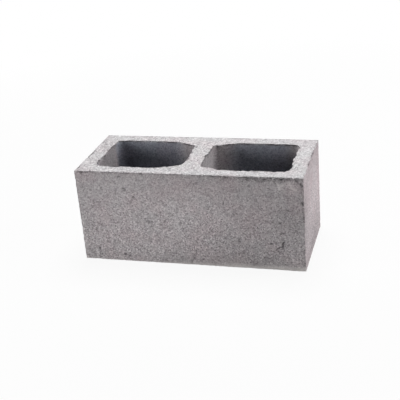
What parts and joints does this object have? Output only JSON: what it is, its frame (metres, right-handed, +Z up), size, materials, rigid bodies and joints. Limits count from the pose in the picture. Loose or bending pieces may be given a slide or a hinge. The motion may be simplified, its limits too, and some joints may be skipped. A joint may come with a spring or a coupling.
{
  "type": "hollow concrete block",
  "caption": "Hollow concrete masonry block with tapered through cells, flared at the centre web, and flat beds and ends for mortar.",
  "frame": {"origin": "middle of the lower bed face, on the floor the block stands on", "axes": "+X along the block's length, +Y from the front face to the back face, +Z up out of the upper bed face"},
  "size_m": [0.44, 0.19, 0.19],
  "materials": {
    "concrete": "rough pressed concrete, pale grey with fine dark pores"
  },
  "bodies": {
    "root": {"concrete_block": "concrete"}
  },
  "joints": []
}
